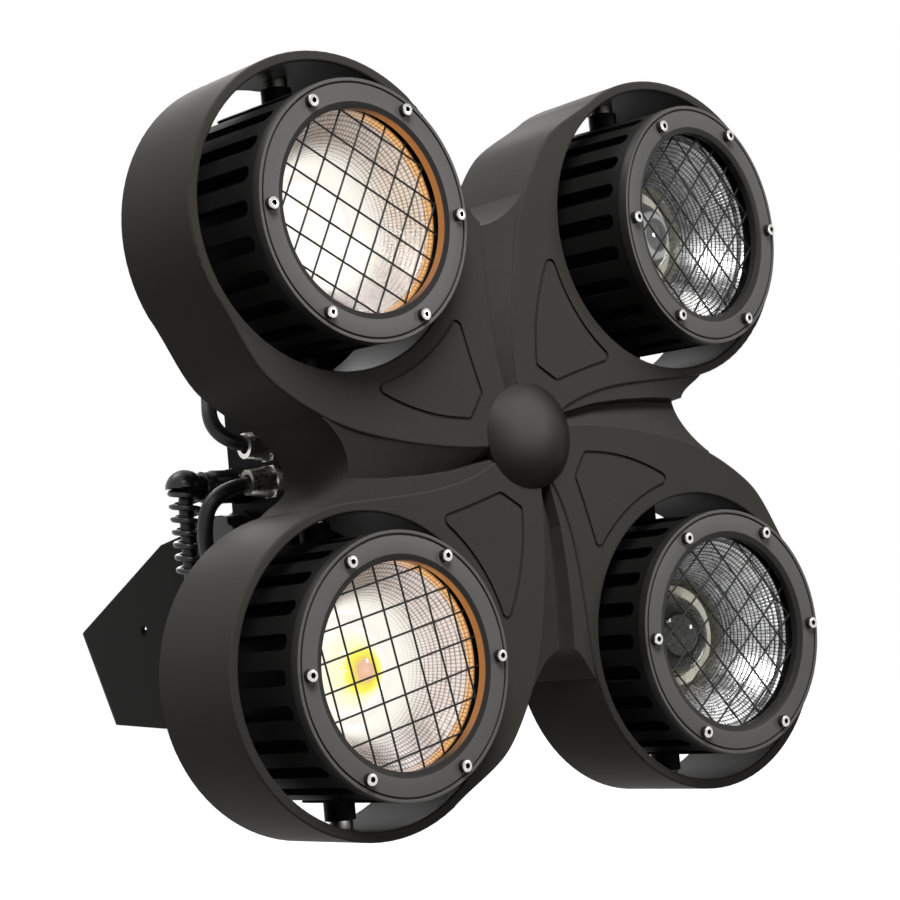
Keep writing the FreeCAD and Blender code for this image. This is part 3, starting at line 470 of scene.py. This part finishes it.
def facet_finish(head):
    """Pressed mirror bowl. Joints between the facets are dark. Where the lamp is off, the bowl's tone round its axis
    is painted reflection; where the lamp is on, the lamp's light in the bowl is painted as a glow, with painted shade
    patches and an orange painted rim on the mouth's right side.
    """
    lit = head in LIT
    f = Finish(head + "_facets")
    uv = f.node("ShaderNodeUVMap", {"uv_map": "rings"})
    u, v, w = f.split(uv)
    across = u.swing(0.5) * 2.0
    along = v.swing(0.5) * 2.0
    plain = v.ramp(FACETS_END - 0.1, FACETS_END + 0.1)
    face = (across.ramp(0.0, 0.42) * along.ramp(0.04, 0.50)).most(plain)
    cell = f.node("ShaderNodeTexWhiteNoise", {"noise_dimensions": "2D"}, {"Vector": f.node(
        "ShaderNodeVectorMath", {"operation": "FLOOR"}, {0: uv})}, 0)
    pillow = (1.0 - (1.0 - across) * (1.0 - across)) * (1.0 - (1.0 - along) * (1.0 - along))
    bump = f.bump(pillow.most(plain), 0.2, 0.0003)
    turn = (u + SECTORS / 2.0) * (1.0 / SECTORS)
    # painted glow: the lamp's light in the bowl as emission, with painted shade at the facet joints and an orange
    # painted rim at the mouth
    if lit:
        edge = f.stops(turn, turn_stops(PAINTED_GLOW_BY_TURN[head]))
        deep = v.ramp(4.0, 13.0)
        body = f.blend(deep, edge, (1.0, 0.96, 0.88))
        rim = (1.0 - v.ramp(-0.9, 0.5)) * ((turn - 0.5).swing(0.5) * -1.0 + 0.26).ramp(0.0, 0.10)
        body = f.blend(rim * 0.9, body, (1.0, 0.50, 0.14))
        shade = (1.0 - (1.0 - face) * (1.0 - v.ramp(7.0, 15.0)) * (0.55 + cell * 0.45))
        dots = f.blend(shade, (0.24, 0.19, 0.16), (1.0, 1.0, 1.0))
        glow = f.blend(1.0, body, dots, "MULTIPLY")
        return f.surface(Base_Color=f.blend(face, (0.02, 0.018, 0.016), (0.10, 0.095, 0.09)), Metallic=1.0,
                         Roughness=(cell * 0.08 + 0.22).clamp(), Normal=bump, Emission_Color=glow,
                         Emission_Strength=1.0)
    # painted reflection: the bowl's tone by turn round its axis
    tone = f.stops(turn, turn_stops(PAINTED_REFLECTION_BY_TURN[head]))
    fleck = f.blend(cell, (0.70, 0.70, 0.70), (1.0, 1.0, 1.0))
    painted_reflection_silver = f.blend(1.0, tone, fleck, "MULTIPLY")
    painted_reflection_silver = f.blend(plain, painted_reflection_silver, (0.52, 0.51, 0.43))
    return f.surface(Base_Color=f.blend(face, (0.035, 0.035, 0.035), painted_reflection_silver), Metallic=1.0,
                     Roughness=(cell * 0.10 + 0.24).clamp(), Normal=bump)


def press_facets(obj):
    """Raises each facet of the bowl a little, with a sloped joint all round it."""
    take(obj)
    mesh = obj.data
    first = MOUTH[1]
    last = first + FACETS_END * (FOOT[1] - first) / RINGS
    bpy.ops.object.mode_set(mode="EDIT")
    bpy.ops.mesh.select_mode(type="FACE")
    bpy.ops.mesh.select_all(action="DESELECT")
    bpy.ops.object.mode_set(mode="OBJECT")
    for poly in mesh.polygons:
        c = poly.center / MM
        inward = poly.normal.x * c.x + poly.normal.z * c.z < 0
        poly.select = inward and first + 0.1 < c.y < last and math.hypot(c.x, c.z) < MOUTH[0] + 0.5
    bpy.ops.object.mode_set(mode="EDIT")
    bpy.ops.mesh.inset(use_individual=True, thickness=0.25 * MM, depth=0.18 * MM)
    bpy.ops.object.mode_set(mode="OBJECT")
    bpy.ops.object.shade_smooth_by_angle(angle=math.radians(3.0))


def model_reflector():
    """The bowl with its lip, its foot round the lens and its wall. UV counts sectors and rings."""
    mouth, foot = Vector(MOUTH), Vector(FOOT)
    run = foot - mouth
    out = Vector((-run.y, run.x)).normalized() * -1.0
    inner = []
    for k in range(RINGS + 1):
        t = k / RINGS
        p = mouth + run * t - out * (BOW * 4 * t * (1 - t))
        inner.append((p.x, p.y))
    behind = [(r + 1.2, y + 0.9) for r, y in reversed(inner)]
    profile = [(58.6, -11.7), (57.6, -10.0)] + inner
    profile += [(25.8, 29.0), (25.8, 45.5), (28.6, 45.5), (28.6, 30.0)]
    profile += behind[:-1] + [(59.5, -8.0), (59.5, -11.7)]
    obj = turned("reflector_model", profile, nickel, SECTORS, True, 12.0)
    press_facets(obj)
    mesh = obj.data
    uv = mesh.uv_layers.new(name="rings")
    for poly in mesh.polygons:
        mid = poly.center
        base = math.atan2(mid.z, mid.x)
        for li in poly.loop_indices:
            co = mesh.vertices[mesh.loops[li].vertex_index].co
            a = math.atan2(co.z, co.x)
            if a - base > math.pi:
                a -= 2 * math.pi
            if base - a > math.pi:
                a += 2 * math.pi
            depth = (co.y / MM - MOUTH[1]) / (FOOT[1] - MOUTH[1]) * RINGS
            uv.data[li].uv = (a / (2 * math.pi) * SECTORS, depth)
    return obj


reflector_model = model_reflector()
for head in HEADS:
    piece = seat(copy_of(reflector_model, head + "_facet_bowl"), head)
    piece.data.materials.clear()
    piece.data.materials.append(facet_finish(head))
    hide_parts(head + "_reflector")
bpy.data.objects.remove(reflector_model)


# Lens over the light source, its painted glow and painted reflections drawn in rings round its own axis

def radial(obj, name="radius"):
    """UV u is the distance from the axis in mm, v the turn round it."""
    mesh = obj.data
    uv = mesh.uv_layers.new(name=name)
    for poly in mesh.polygons:
        for li in poly.loop_indices:
            co = mesh.vertices[mesh.loops[li].vertex_index].co
            r = math.hypot(co.x, co.z) / MM
            a = math.atan2(co.z, co.x) / (2 * math.pi) + 0.5
            uv.data[li].uv = (r, a)
    return obj


def lens_finish(head):
    f = Finish(head + "_lens_glass")
    uv = f.node("ShaderNodeUVMap", {"uv_map": "radius"})
    u, v, w = f.split(uv)
    film = f.noise(70.0, 2.0, 0.5)
    reach = u * (1.0 / LENS_R)
    # painted glow on the two lit heads' lenses: the lit source seen through the glass is painted on it as emission
    if head == "lower_left":
        lean = ((v - 0.62).swing(0.5) * -0.30 + 0.05)
        glow = f.stops((reach + (film - 0.5) * 0.16 + lean).clamp(),
                       [(0.0, (0.86, 0.52, 0.36)), (0.20, (0.78, 0.44, 0.26)), (0.30, (0.84, 0.72, 0.04)),
                        (0.44, (0.98, 0.90, 0.06)), (0.56, (1.0, 0.95, 0.55)), (1.0, (1.0, 0.97, 0.88))])
        return f.surface(Base_Color=(0.1, 0.1, 0.1), Roughness=(film * 0.02 + 0.04).clamp(), Emission_Color=glow,
                         Emission_Strength=1.1)
    if head == "upper_left":
        glow = f.stops(reach, [(0.0, (1.0, 0.96, 0.86)), (0.5, (1.0, 0.94, 0.80)), (1.0, (1.0, 0.98, 0.94))])
        return f.surface(Base_Color=(0.1, 0.1, 0.1), Roughness=(film * 0.02 + 0.04).clamp(), Emission_Color=glow,
                         Emission_Strength=1.2)
    # painted reflections: a white ring on the upper right lens, and an edge that gets lighter on the lower right one
    if head == "upper_right":
        tone = f.stops(reach, [(0.0, (0.16, 0.16, 0.16)), (0.40, (0.22, 0.22, 0.215)), (0.46, (0.95, 0.95, 0.95)),
                               (0.58, (0.95, 0.95, 0.95)), (0.64, (0.20, 0.20, 0.20)), (1.0, (0.30, 0.30, 0.30))])
    else:
        tone = f.stops(reach, [(0.0, (0.020, 0.021, 0.018)), (0.70, (0.030, 0.031, 0.026)),
                               (0.84, (0.07, 0.07, 0.055)), (1.0, (0.20, 0.20, 0.17))])
    return f.surface(Base_Color=tone, Roughness=(film * 0.02 + 0.03).clamp(), Specular_IOR_Level=0.6, IOR=1.5)


dome = [(0, LENS_FRONT)]
for a in (6, 12, 18, 24, 30, 36, 42, 48, 54, 59, 63):
    a = math.radians(a)
    dome.append((DOME_R * math.sin(a), LENS_FRONT + DOME_R - DOME_R * math.cos(a)))
lens_side = [(LENS_R - 0.1, 26.4), (LENS_R, 27.2), (LENS_R, 45.3), (0, 45.4)]
lens_model = turned("lens_model", dome + lens_side, nickel, 72, False, 40.0)
radial(lens_model)
for head in HEADS:
    piece = seat(copy_of(lens_model, head + "_bull_lens"), head)
    piece.data.materials.clear()
    piece.data.materials.append(lens_finish(head))
    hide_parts(head + "_cob_lens")
bpy.data.objects.remove(lens_model)


def cob_finish(name, lit):
    f = Finish(name)
    spots = f.node("ShaderNodeTexVoronoi", {"feature": "F1"}, {"Vector": f.coords(), "Scale": 700.0})
    colour = f.blend((spots * 1.4).clamp(), (0.80, 0.58, 0.08), (0.90, 0.78, 0.30))
    values = dict(Base_Color=colour, Roughness=(spots * 0.2 + 0.5).clamp())
    if lit:
        values.update(Emission_Color=f.blend((spots * 1.4).clamp(), (1.0, 0.78, 0.25), (1.0, 0.93, 0.55)),
                      Emission_Strength=2.0)
    return f.surface(**values)


lamp_phosphor = cob_finish("lamp_phosphor", True)
plain_phosphor = cob_finish("plain_phosphor", False)


# Bezels: outer lip, dark groove, flat band with the screws, inner slope

bezel_profile = [(BEZEL_BORE, BEZEL_BACK), (BEZEL_R, BEZEL_BACK), (BEZEL_R, BEZEL_FRONT), (72.3, BEZEL_FRONT),
                 (72.3, -23.0), (71.4, -23.0), (71.4, BEZEL_FRONT), (61.1, BEZEL_FRONT), (BEZEL_BORE, -22.8)]
bezel_model = turned("bezel_model", rounded(bezel_profile, 0.45), bezel_coat, 128, True, 50.0)
radial(bezel_model)
for head in HEADS:
    piece = seat(copy_of(bezel_model, head + "_front_ring"), head)
    if head in LIT:
        piece.data.materials.clear()
        piece.data.materials.append(bezel_painted_glow)
    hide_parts(head + "_bezel")
bpy.data.objects.remove(bezel_model)


def screw_circle():
    """Six socket head screws on the bezel's flat band, with painted shade in each socket and on each head's side."""
    head_profile = [(0, -26.2), (1.75, -26.0), (1.75, -28.0), (2.9, -28.0), (3.3, -27.8), (3.5, -27.3),
                    (3.5, -24.3), (3.5, -23.9), (0, -23.9)]
    screw = turned("screw_model", head_profile, stainless, 24, False, 30.0)
    for vert in screw.data.vertices:
        r = math.hypot(vert.co.x, vert.co.z)
        if 0.001 < r < 0.0019 and vert.co.y < -0.0255:
            a = math.atan2(vert.co.z, vert.co.x) % (math.pi / 3) - math.pi / 6
            s = 0.0015 / math.cos(a) / r
            vert.co.x *= s
            vert.co.z *= s
    # painted shade: the near-black second material goes in each socket and on the side of each head
    screw.data.materials.append(painted_screw_shade)
    for poly in screw.data.polygons:
        reach = math.hypot(poly.center.x, poly.center.z)
        if reach < 0.00176 or (reach > 0.0032 and poly.center.y > -0.0272):
            poly.material_index = 1
    ring = []
    for k in range(6):
        one = copy_of(screw, "screw_%d" % k)
        a = math.radians(60.0 * k)
        place = Vector((math.cos(a), 0, math.sin(a))) * SCREW_CIRCLE * MM
        one.data.transform(Matrix.Translation(place) @ Matrix.Rotation(a * 1.7, 4, "Y"))
        ring.append(one)
    bpy.data.objects.remove(screw)
    return joined(ring, "screw_ring")


screw_ring = screw_circle()
for head in HEADS:
    piece = seat(copy_of(screw_ring, head + "_socket_screws"), head)
    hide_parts(head + "_bezel_screws")
bpy.data.objects.remove(screw_ring)


# Leads: control points of each run, from the case's gland to the head's rear gland

LEADS = {"upper_left": [(-103.0, 119.0, 11.0), (-146.0, 119.0, 11.0), (-124.0, 148.0, 60.0), (-133.4, 155.9, 126.0),
                        (-129.6, 99.9, 126.0)],
         "upper_right": [(103.0, 119.0, 11.0), (146.0, 119.0, 11.0), (124.0, 148.0, 60.0), (109.4, 155.3, 126.0),
                         (118.0, 99.4, 126.0)],
         "lower_left": [(-103.0, 119.0, -11.0), (-146.0, 119.0, -11.0), (-153.0, 127.0, -46.0),
                        (-128.0, 139.0, -86.0), (-132.2, 165.9, -126.0), (-128.8, 99.9, -126.0)],
         "lower_right": [(103.0, 119.0, -11.0), (146.0, 119.0, -11.0), (153.0, 127.0, -46.0),
                         (128.0, 139.0, -86.0), (123.5, 166.0, -126.0), (124.9, 100.0, -126.0)]}
POWER = [(-106.0, 152.0, -10.0), (-123.5, 152.0, -10.0), (-145.5, 152.0, -10.0), (-145.5, 152.0, -32.0),
         (-145.5, 152.0, -64.5), (-145.5, 152.0, -84.5), (-148.0, 130.0, -120.0), (-148.0, 127.0, -146.0)]


def lead_line(name, points, radius, finish):
    data = bpy.data.curves.new(name, "CURVE")
    data.dimensions = "3D"
    spline = data.splines.new("NURBS")
    spline.points.add(len(points) - 1)
    for p, q in zip(spline.points, points):
        p.co = tuple(spot(*q)) + (1.0,)
    spline.order_u = 3
    spline.use_endpoint_u = True
    data.resolution_u = 14
    data.bevel_depth = radius * MM
    data.bevel_resolution = 5
    data.use_fill_caps = True
    data.materials.append(finish)
    obj = bpy.data.objects.new(name, data)
    bpy.context.scene.collection.objects.link(obj)
    return obj


for head in HEADS:
    piece = lead_line(head + "_rubber_lead", LEADS[head], LEAD_R, rubber)
    take(piece)
    bpy.ops.object.convert(target="MESH")
    bpy.ops.object.shade_smooth_by_angle(angle=math.radians(50.0))
    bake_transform(piece)
    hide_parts(head + "_lead")


# Power lead's gland: nut, dome, elbow cap and the wound bend relief

def wound_relief(corner):
    """Seven turns of round nylon that narrow downwards."""
    length = 54.0 * MM
    narrowing = 1.9 * MM
    drop_picks()
    bpy.ops.mesh.primitive_circle_add(vertices=16, radius=1.9 * MM, location=(8.8 * MM, 0, 0),
                                      rotation=(math.pi / 2, 0, 0), fill_type="NOTHING")
    obj = bpy.context.active_object
    bpy.ops.object.transform_apply(location=True, rotation=True, scale=True)
    wind = obj.modifiers.new("wind", "SCREW")
    wind.axis = "Z"
    wind.angle = 2 * math.pi
    wind.iterations = 7
    wind.screw_offset = -length / 7
    wind.steps = 30
    wind.render_steps = 30
    wind.use_merge_vertices = True
    take(obj)
    bpy.ops.object.modifier_apply(modifier="wind")
    for vert in obj.data.vertices:
        r = math.hypot(vert.co.x, vert.co.y)
        s = (r - narrowing * min(1.0, max(0.0, -vert.co.z / length))) / r
        vert.co.x *= s
        vert.co.y *= s
    bpy.ops.object.mode_set(mode="EDIT")
    bpy.ops.mesh.select_all(action="SELECT")
    bpy.ops.mesh.fill_holes(sides=0)
    bpy.ops.mesh.select_all(action="SELECT")
    bpy.ops.mesh.normals_make_consistent(inside=False)
    bpy.ops.object.mode_set(mode="OBJECT")
    start = Matrix.Translation(corner + Vector((0, 0, -0.5 * MM)))
    obj.data.transform(start @ Matrix.Rotation(math.radians(50.0), 4, "Z"))
    return settle(obj, "wound_relief", nylon, 60.0)


def power_gland():
    corner = spot(*POWER[2])
    face = spot(-100.0, 152.0, -10.0)
    outward = Matrix.Translation(face) @ Matrix.Rotation(math.pi / 2, 4, "Z")
    nut_profile = [(7.0, 0.1), (10.4, 0.1), (11.0, 1.0), (11.0, 11.2), (10.4, 12.0), (7.0, 12.0)]
    nut = turned("gland_nut", nut_profile, nylon, 6, True, 20.0)
    nut.data.transform(outward)
    dome = turned("gland_dome", [(7.0, 11.5), (10.5, 11.5), (10.5, 25.5), (10.3, 27.2), (9.9, 28.6), (9.5, 29.4),
                                 (9.5, 33.4), (8.6, 34.0), (7.0, 34.0)], nylon, 48, True, 35.0)
    dome.data.transform(outward)
    cap_r = 11.5
    ball = [(0, -cap_r)]
    for a in range(10, 91, 8):
        ball.append((cap_r * math.sin(math.radians(a)), -cap_r * math.cos(math.radians(a))))
    cap = turned("gland_cap", ball + [(cap_r, 0.0), (0, 0.0)], nylon, 48, False, 35.0)
    cap.data.transform(Matrix.Translation(corner) @ Matrix.Rotation(-math.pi / 2, 4, "X"))
    piece = joined([nut, dome, cap, wound_relief(corner)], "cord_gland")
    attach(piece, "lamp_body")
    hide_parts("power_gland")


power_gland()
power = lead_line("power_cord", POWER, POWER_R, rubber)
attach(power, "lamp_body")
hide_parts("power_lead")


# Finishes of the frame's own pieces

def coat(name, finish):
    mesh = nodes[name].data
    mesh.materials.clear()
    mesh.materials.append(finish)


for name in ("front_housing", "rear_chassis"):
    coat(name, housing_coat)
for name, finish in (("centre_cap", cap_coat), ("electronics_case", case_coat), ("case_lid", case_coat),
                     ("lid_screws", stainless), ("head_pivot_bolts", stainless), ("display_window", display_black),
                     ("menu_button_1", button_rubber), ("menu_button_2", button_rubber),
                     ("menu_button_3", button_rubber), ("menu_button_4", button_rubber),
                     ("power_supply", supply_metal), ("case_glands", nickel), ("yoke", yoke_coat),
                     ("tilt_knob_left", knob_plastic), ("tilt_knob_right", knob_plastic), ("power_plug", nylon)):
    coat(name, finish)
for head in HEADS:
    for name, finish in (("head_casting", head_coat), ("wire_guard", wire_coat), ("front_glass", front_glass),
                         ("cob_module", lamp_phosphor if head in LIT else plain_phosphor), ("head_gland", nickel)):
        coat(head + "_" + name, finish)


# Floor and light

def seen_rays(tree):
    """1 for the rays that show the background: straight, mirrored or through glass."""
    ray = tree.nodes.new("ShaderNodeLightPath")
    one = tree.nodes.new("ShaderNodeMath")
    one.operation = "MAXIMUM"
    tree.links.new(ray.outputs["Is Camera Ray"], one.inputs[0])
    tree.links.new(ray.outputs["Is Glossy Ray"], one.inputs[1])
    two = tree.nodes.new("ShaderNodeMath")
    two.operation = "MAXIMUM"
    tree.links.new(one.outputs[0], two.inputs[0])
    tree.links.new(ray.outputs["Is Transmission Ray"], two.inputs[1])
    return two


def stage_and_light():
    drop_picks()
    bpy.ops.mesh.primitive_plane_add(size=14.0, location=(0, 0, -0.42))
    floor = bpy.context.active_object
    floor.name = "floor"
    f = Finish("floor_paint")
    seen = seen_rays(f.tree)
    x, y, z = f.split(f.coords())
    far = (x * x + y * y).root().ramp(0.9, 2.6)
    part = Sock(f, seen.outputs[0]) * (far * 0.32 + 0.68)
    pale = f.tree.nodes.new("ShaderNodeBsdfDiffuse")
    bounce = f.tree.nodes.new("ShaderNodeMix")
    bounce.data_type = "RGBA"
    bounce.inputs[6].default_value = (0.10, 0.10, 0.10, 1)
    bounce.inputs[7].default_value = (0.8, 0.8, 0.8, 1)
    f.tree.links.new(seen.outputs[0], bounce.inputs[0])
    f.tree.links.new(bounce.outputs[2], pale.inputs[0])
    glow = f.tree.nodes.new("ShaderNodeEmission")
    glow.inputs[0].default_value = (1, 1, 1, 1)
    glow.inputs[1].default_value = 1.25
    mix = f.tree.nodes.new("ShaderNodeMixShader")
    f.tree.links.new(part.out, mix.inputs[0])
    f.tree.links.new(pale.outputs[0], mix.inputs[1])
    f.tree.links.new(glow.outputs[0], mix.inputs[2])
    out = f.tree.nodes.new("ShaderNodeOutputMaterial")
    f.tree.links.new(mix.outputs[0], out.inputs[0])
    floor.data.materials.append(f.mat)
    world = bpy.data.worlds.new("studio")
    world.use_nodes = True
    bpy.context.scene.world = world
    t = world.node_tree
    t.nodes.clear()
    seen = seen_rays(t)
    white = t.nodes.new("ShaderNodeBackground")
    white.inputs[0].default_value = (1, 1, 1, 1)
    white.inputs[1].default_value = 1.0
    soft = t.nodes.new("ShaderNodeBackground")
    soft.inputs[0].default_value = (1.0, 0.99, 0.97, 1)
    soft.inputs[1].default_value = 0.085
    mix = t.nodes.new("ShaderNodeMixShader")
    t.links.new(seen.outputs[0], mix.inputs[0])
    t.links.new(soft.outputs[0], mix.inputs[1])
    t.links.new(white.outputs[0], mix.inputs[2])
    out = t.nodes.new("ShaderNodeOutputWorld")
    t.links.new(mix.outputs[0], out.inputs[0])
    for name, place, size, power in (("key", (-0.68, -1.65, 1.77), 1.1, 60.0),
                                     ("rim", (-0.6, 0.5, 1.7), 0.9, 9.0),
                                     ("kicker", (1.25, -1.7, 0.45), 0.22, 6.0),
                                     ("behind", (0.9, 1.75, 1.0), 1.2, 20.0)):
        data = bpy.data.lights.new(name, "AREA")
        data.size = size
        data.energy = power
        lamp = bpy.data.objects.new(name, data)
        bpy.context.scene.collection.objects.link(lamp)
        lamp.location = place
        aim = Vector((0, -0.3, 0.1)) - Vector(place)
        lamp.rotation_euler = aim.to_track_quat("-Z", "Y").to_euler()


stage_and_light()
bpy.context.scene.view_settings.view_transform = "Standard"
